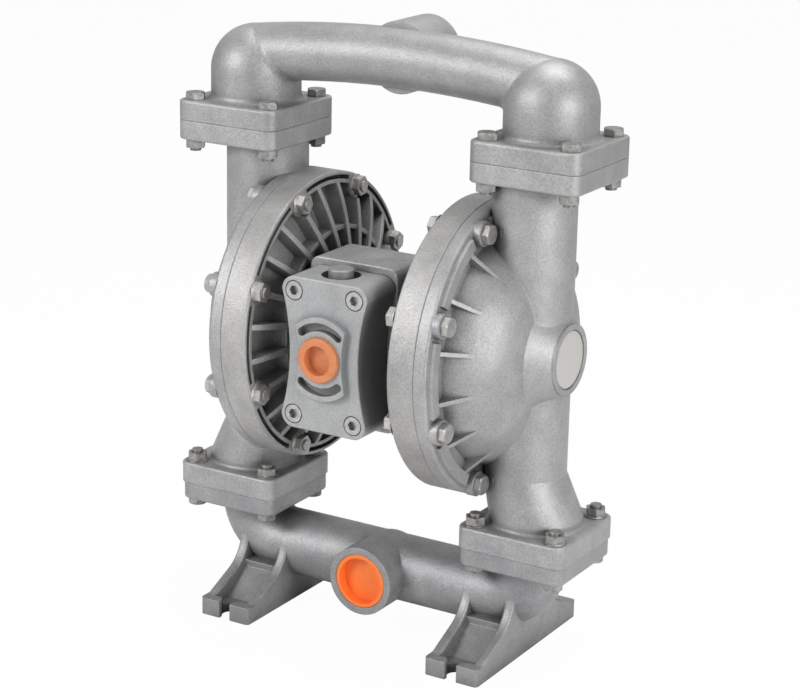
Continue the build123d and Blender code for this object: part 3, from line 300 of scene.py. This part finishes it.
# Diaphragm plates: an inner and an outer disc clamp each diaphragm on the shaft. They are turned
# from aluminium bar and left bare, bright with fine tool rings.
def turned_metal(name, colour, roughness=0.3, ring_width=0.0006, direction="X"):
    """Metal off the lathe: fine rings across the turning axis and a soft gloss.

    The tool moves about 0.2 mm a turn, drawn here about four to six times as coarse to show. The
    rings and the grooves between them are each about one ring width wide.
    """
    cloud_width = 0.01
    edge_radius = 0.0005
    ring_height = 0.00004
    material, nodes, shader = new_material(name)
    links = material.node_tree.links
    place = add(nodes, "TexCoord").outputs["Object"]
    cloud = add(nodes, "TexNoise", {"Vector": place, "Scale": 1 / cloud_width, "Detail": 3})
    shade = add(nodes, "MapRange", {"Value": cloud.outputs[0], "To Min": 0.88, "To Max": 1.06})
    colours = add(nodes, "Mix", {0: 1.0, 6: rgb(colour), 7: shade.outputs[0]},
                  data_type="RGBA", blend_type="MULTIPLY")
    rings = add(nodes, "TexWave", {"Vector": place, "Scale": 1 / (2 * pi * ring_width),
                                   "Distortion": 0.4}, bands_direction=direction)
    soft_edge = add(nodes, "Bevel", {"Radius": edge_radius}, samples=4)
    lines = add(nodes, "Bump", {"Height": rings.outputs[0], "Distance": ring_height, "Strength": 0.4,
                                "Normal": soft_edge.outputs[0]})
    links.new(colours.outputs[2], shader.inputs["Base Color"])
    links.new(lines.outputs[0], shader.inputs["Normal"])
    shader.inputs["Metallic"].default_value = 1.0
    shader.inputs["Roughness"].default_value = roughness
    return material


cover(["inner_plate_left", "inner_plate_right", "outer_plate_left", "outer_plate_right"],
      turned_metal("turned_aluminium_plate", "#c9c9c8"))


# Diaphragm shaft, pilot rod and spool: stainless steel bar, ground and polished to slide in their
# bushings and sleeve, so the glossiest parts of the pump.
cover(["diaphragm_shaft", "pilot_rod"],
      turned_metal("ground_stainless_shaft", "#bdbcba", roughness=0.16, ring_width=0.0004))
cover(["valve_spool"],
      turned_metal("ground_stainless_spool", "#bdbcba", roughness=0.16, ring_width=0.0004, direction="Z"))


# Bushings and spool sleeve: bearing bronze, turned and pressed into the block and the valve body,
# with faint tool rings.
cover(["shaft_bushings", "pilot_bushings"], turned_metal("bearing_bronze", "#b98a4c", roughness=0.35))
cover(["spool_sleeve"], turned_metal("bronze_sleeve", "#b98a4c", roughness=0.35, direction="Z"))


# Air chambers and centre block: sand castings of the same alloy, left blasted and not sprayed.
# The hollows between the ribs are darkened by painted shade.
cover(["air_chamber_left", "air_chamber_right"],
      cast_aluminium("blasted_cast_aluminium_air_chamber", "#b1b0af", "#9f9e9d", reach=0.022))
block_metal = cast_aluminium("rough_cast_aluminium_block", "#bdbbbc", "#9f9d9e", grain=0.0022)
cover(["center_block"], block_metal)
air_port_pitch = 0.00181
air_thread_depth = 0.0007
port_thread("exhaust_port_thread", "exhaust_port", air_port_pitch, air_thread_depth, block_metal)


# Air valve body: an aluminium die casting with a smooth matt grey paint, held by four socket head
# screws. The two end plugs of its spool bore are castings left bare.
# Its painted shade reaches far, to darken the valve's sides in the shaded gap beside the right chamber.
valve_paint = cast_aluminium("matt_grey_painted_valve", "#abacad", "#a3a4a5", grain=0.0012,
                             grain_depth=0.3, reach=0.1, roughness=0.45, metallic=0.2)
cover(["air_valve_body"], valve_paint)
port_thread("air_inlet_thread", "air_inlet", air_port_pitch, air_thread_depth, valve_paint)
cover(["spool_plug_top", "spool_plug_bottom"],
      cast_aluminium("cast_aluminium_plug", "#a8a8a8", "#989898", grain=0.0012))


# Screws and retaining rings: bright stainless steel, cold formed, with cloudy patches of oil, and
# painted shade in the sockets.
def plated_steel(name, colour, shadow, roughness):
    """Zinc plated or stainless cold formed steel: soft gloss with cloudy patches and painted shade in its
    hollows.
    """
    patch_width = 0.006
    hollow_reach = 0.004
    edge_radius = 0.0005
    dent_depth = 0.0002
    gloss_spread = (-0.08, 0.12)
    material, nodes, shader = new_material(name)
    links = material.node_tree.links
    place = add(nodes, "TexCoord").outputs["Object"]
    cloud = add(nodes, "TexNoise", {"Vector": place, "Scale": 1 / patch_width, "Detail": 4,
                                    "Roughness": 0.65})
    spread = add(nodes, "MapRange", {"Value": cloud.outputs[0], "From Min": 0.35, "From Max": 0.65})
    body = add(nodes, "Mix", {0: spread.outputs[0], 6: rgb(shadow), 7: rgb(colour)}, data_type="RGBA")
    # Painted shade: ambient occlusion darkens the colour in sockets and under heads and nuts.
    hollow = add(nodes, "AmbientOcclusion", {"Distance": hollow_reach}, samples=6)
    painted_hollow_shade = add(nodes, "MapRange", {"Value": hollow.outputs["AO"], "From Min": 0.2, "From Max": 0.8,
                                   "To Min": 0.45, "To Max": 1.0})
    colours = add(nodes, "Mix", {0: 1.0, 6: body.outputs[2], 7: painted_hollow_shade.outputs[0]},
                  data_type="RGBA", blend_type="MULTIPLY")
    gloss = add(nodes, "MapRange", {"Value": cloud.outputs[0], "To Min": roughness + gloss_spread[0],
                                    "To Max": roughness + gloss_spread[1]})
    soft_edge = add(nodes, "Bevel", {"Radius": edge_radius}, samples=4)
    dents = add(nodes, "Bump", {"Height": cloud.outputs[0], "Distance": dent_depth, "Strength": 0.4,
                                "Normal": soft_edge.outputs[0]})
    links.new(colours.outputs[2], shader.inputs["Base Color"])
    links.new(gloss.outputs[0], shader.inputs["Roughness"])
    links.new(dents.outputs[0], shader.inputs["Normal"])
    shader.inputs["Metallic"].default_value = 0.9
    return material


cover(["valve_screws", "block_screws_left", "block_screws_right", "plug_retaining_rings"],
      plated_steel("stainless_socket_screw", "#c2c2c1", "#a6a6a5", 0.34))


# Discharge manifold: one sand casting on top of the chambers, blasted and sprayed like the lower
# one, with its outlet at the back.
upper_metal = cast_aluminium("sprayed_cast_aluminium_upper", "#a9a8a8", "#9b9a9b")
cover(["discharge_manifold"], upper_metal)
port_thread("discharge_port_thread", "discharge_port", port_pitch, port_thread_depth, upper_metal)


# Bolts and nuts of the castings: zinc plated steel, grey with a hint of yellow. Those round the
# chambers get a lighter copy of the same zinc, painted light that lifts them out of the shade they sit in.
flange_zinc = plated_steel("zinc_plated_steel_flange", "#abaaa7", "#878583", 0.38)
cover(["discharge_flange_bolts", "discharge_flange_nuts", "suction_flange_bolts",
       "suction_flange_nuts"], flange_zinc)
# Painted light: a lighter copy of the zinc for the chamber bolts and nuts, which sit in shade.
lightened_chamber_zinc = plated_steel("zinc_plated_steel_lightened", "#c3c1be", "#a6a4a1", 0.46)
cover(["chamber_bolts_left", "chamber_bolts_right", "chamber_nuts_left", "chamber_nuts_right"],
      lightened_chamber_zinc)
bolt_radius = 0.005
bolt_pitch = 0.0015
bolt_thread_height = 0.00035


def solid_boxes(node):
    """Lowest and highest corner of each solid of a node, found by walking along its edges."""
    merge_distance = 0.00001
    edit = bmesh.new()
    edit.from_mesh(frame["nodes"][node].data)
    bmesh.ops.remove_doubles(edit, verts=edit.verts, dist=merge_distance)
    unseen, boxes = set(edit.verts), []
    while unseen:
        group, front = set(), [unseen.pop()]
        while front:
            point = front.pop()
            group.add(point)
            near = {edge.other_vert(point) for edge in point.link_edges} & unseen
            unseen -= near
            front += near
        boxes.append([Vector([pick(point.co[i] for point in group) for i in range(3)])
                      for pick in (min, max)])
    edit.free()
    return sorted(boxes, key=lambda corners: tuple(corners[0]))


def bolt_threads(name, bolts, nuts, axis, material):
    """Thread on each bolt end of a group, from the outer face of its nut to the end of the bolt."""
    along = [abs(part) for part in axis].index(1)
    far_corner = 1 if axis[along] > 0 else 0
    nut_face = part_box(nuts)[far_corner][along]
    shapes = []
    for corners in solid_boxes(bolts):
        start = (corners[0] + corners[1]) / 2
        end = start.copy()
        start[along] = nut_face
        end[along] = corners[far_corner][along]
        shapes.append(thread_ridge(start, end, bolt_radius - root_overlap,
                                   bolt_radius + bolt_thread_height, bolt_pitch))
    joined_mesh(name, shapes, material)


bolt_threads("discharge_bolt_threads", "discharge_flange_bolts", "discharge_flange_nuts", (0, 0, -1),
             flange_zinc)
bolt_threads("suction_bolt_threads", "suction_flange_bolts", "suction_flange_nuts", (0, 0, 1), flange_zinc)
bolt_threads("chamber_bolt_threads_left", "chamber_bolts_left", "chamber_nuts_left", (1, 0, 0),
             lightened_chamber_zinc)
bolt_threads("chamber_bolt_threads_right", "chamber_bolts_right", "chamber_nuts_right", (-1, 0, 0),
             lightened_chamber_zinc)


# Transport caps: moulded soft polyethylene, orange, slightly see-through at the lip, and pushed into
# the suction port and the air inlet. The small one in the air inlet is given a darker orange.
def moulded_polyethylene(name, colour, pale):
    """Moulded polyethylene: saturated, waxy, with light passing into it."""
    skin_width = 0.004
    skin_depth = 0.0001
    material, nodes, shader = new_material(name)
    links = material.node_tree.links
    place = add(nodes, "TexCoord").outputs["Object"]
    skin = add(nodes, "TexNoise", {"Vector": place, "Scale": 1 / skin_width, "Detail": 3})
    bumps = add(nodes, "Bump", {"Height": skin.outputs[0], "Distance": skin_depth, "Strength": 0.3})
    tint = add(nodes, "Mix", {0: skin.outputs[0], 6: rgb(colour), 7: rgb(pale)}, data_type="RGBA")
    links.new(tint.outputs[2], shader.inputs["Base Color"])
    links.new(bumps.outputs[0], shader.inputs["Normal"])
    shader.inputs["Roughness"].default_value = 0.38
    shader.inputs["IOR"].default_value = 1.51
    shader.inputs["Subsurface Weight"].default_value = 0.25
    shader.inputs["Subsurface Scale"].default_value = 0.003
    shader.inputs["Subsurface Radius"].default_value = (1.0, 0.55, 0.2)
    return material


cover(["suction_port_cap"], moulded_polyethylene("moulded_orange_polyethylene", "#fa7824", "#ff8c46"))
cover(["air_inlet_cap"], moulded_polyethylene("darker_orange_polyethylene", "#cb7440", "#d88f62"))


# Floor: a wide, flat sheet of white paper. The camera sees its glow, so that it is white, and under
# that it keeps a faint shadow of the pump.
half_floor = 12.0
glow_share = 0.97
mesh = bpy.data.meshes.new("floor")
corners = [(-half_floor, -half_floor, 0), (half_floor, -half_floor, 0), (half_floor, half_floor, 0),
           (-half_floor, half_floor, 0)]
mesh.from_pydata(corners, [], [(0, 1, 2, 3)])
floor = bpy.data.objects.new("floor", mesh)
bpy.context.collection.objects.link(floor)
paper, nodes, shader = new_material("white_paper_floor")
shader.inputs["Base Color"].default_value = rgb("#f4f4f4")
shader.inputs["Roughness"].default_value = 0.9
glow = add(nodes, "Emission", {"Color": rgb("#ffffff"), "Strength": 1.0})
path = add(nodes, "LightPath")
share = add(nodes, "Math", {0: path.outputs["Is Camera Ray"], 1: glow_share}, operation="MULTIPLY")
mixed = add(nodes, "MixShader", {0: share.outputs[0], 1: shader.outputs[0], 2: glow.outputs[0]})
paper.node_tree.links.new(mixed.outputs[0], nodes["Material Output"].inputs["Surface"])
mesh.materials.append(paper)


# World: an even studio. It is white where the camera sees it, about half as bright where the metal
# mirrors it, and dim as a fill.
mirrored_level = 0.55
fill_level = 0.22
world = bpy.data.worlds.new("studio")
bpy.context.scene.world = world
world.use_nodes = True
nodes = world.node_tree.nodes
path = add(nodes, "LightPath")
seen = add(nodes, "Math", {0: path.outputs["Is Camera Ray"], 1: path.outputs["Is Transmission Ray"]},
           operation="MAXIMUM")
mirrored = add(nodes, "Math", {0: path.outputs["Is Glossy Ray"], 1: mirrored_level},
               operation="MULTIPLY")
either = add(nodes, "Math", {0: seen.outputs[0], 1: mirrored.outputs[0]}, operation="MAXIMUM")
level = add(nodes, "Math", {0: either.outputs[0], 1: fill_level}, operation="MAXIMUM")
nodes["Background"].inputs["Color"].default_value = rgb("#ffffff")
world.node_tree.links.new(level.outputs[0], nodes["Background"].inputs["Strength"])


# Lamps: a soft box at the front left, a weaker one at the right, and a wider one above, all aimed at
# the middle of the pump. Their sizes are in metres and their powers in watts.
pump_middle = Vector((0, 0, 0.28))


def soft_box(name, place, size, power):
    """A square area lamp aimed at the middle of the pump."""
    lamp = bpy.data.lights.new(name, "AREA")
    lamp.shape = "SQUARE"
    lamp.size = size
    lamp.energy = power
    holder = bpy.data.objects.new(name, lamp)
    holder.location = place
    holder.rotation_euler = (pump_middle - Vector(place)).to_track_quat("-Z", "Y").to_euler()
    bpy.context.collection.objects.link(holder)


soft_box("key_soft_box", place=(-1.1, -1.9, 1.35), size=0.9, power=32)
soft_box("right_soft_box", place=(2.1, -0.75, 0.85), size=0.9, power=27)
soft_box("top_soft_box", place=(0.1, 0.4, 2.0), size=1.2, power=22)


# Camera: a long lens at the front right and above, as the photograph was taken. It is turned left by
# the yaw, down by the pitch, and a little round its own axis by the roll.
camera_place = Vector((1.00396, -1.67797, 0.85306))
yaw, pitch, roll = radians(30.75), radians(16.94), radians(1.171)
lens = bpy.data.cameras.new("camera")
lens.sensor_width = 36
lens.lens = 103.2
lens.shift_x = 0.0011
lens.shift_y = -0.0029
lens.clip_end = 60
camera = bpy.data.objects.new("camera", lens)
forward = Vector((-sin(yaw) * cos(pitch), cos(yaw) * cos(pitch), -sin(pitch)))
right = forward.cross(Vector((0, 0, 1))).normalized()
up = right.cross(forward)
tilted_right = cos(roll) * right + sin(roll) * up
tilted_up = cos(roll) * up - sin(roll) * right
camera.matrix_world = Matrix.Translation(camera_place) @ Matrix(
    (tilted_right, tilted_up, -forward)).transposed().to_4x4()
bpy.context.collection.objects.link(camera)
bpy.context.scene.camera = camera
bpy.context.scene.view_settings.view_transform = "Standard"
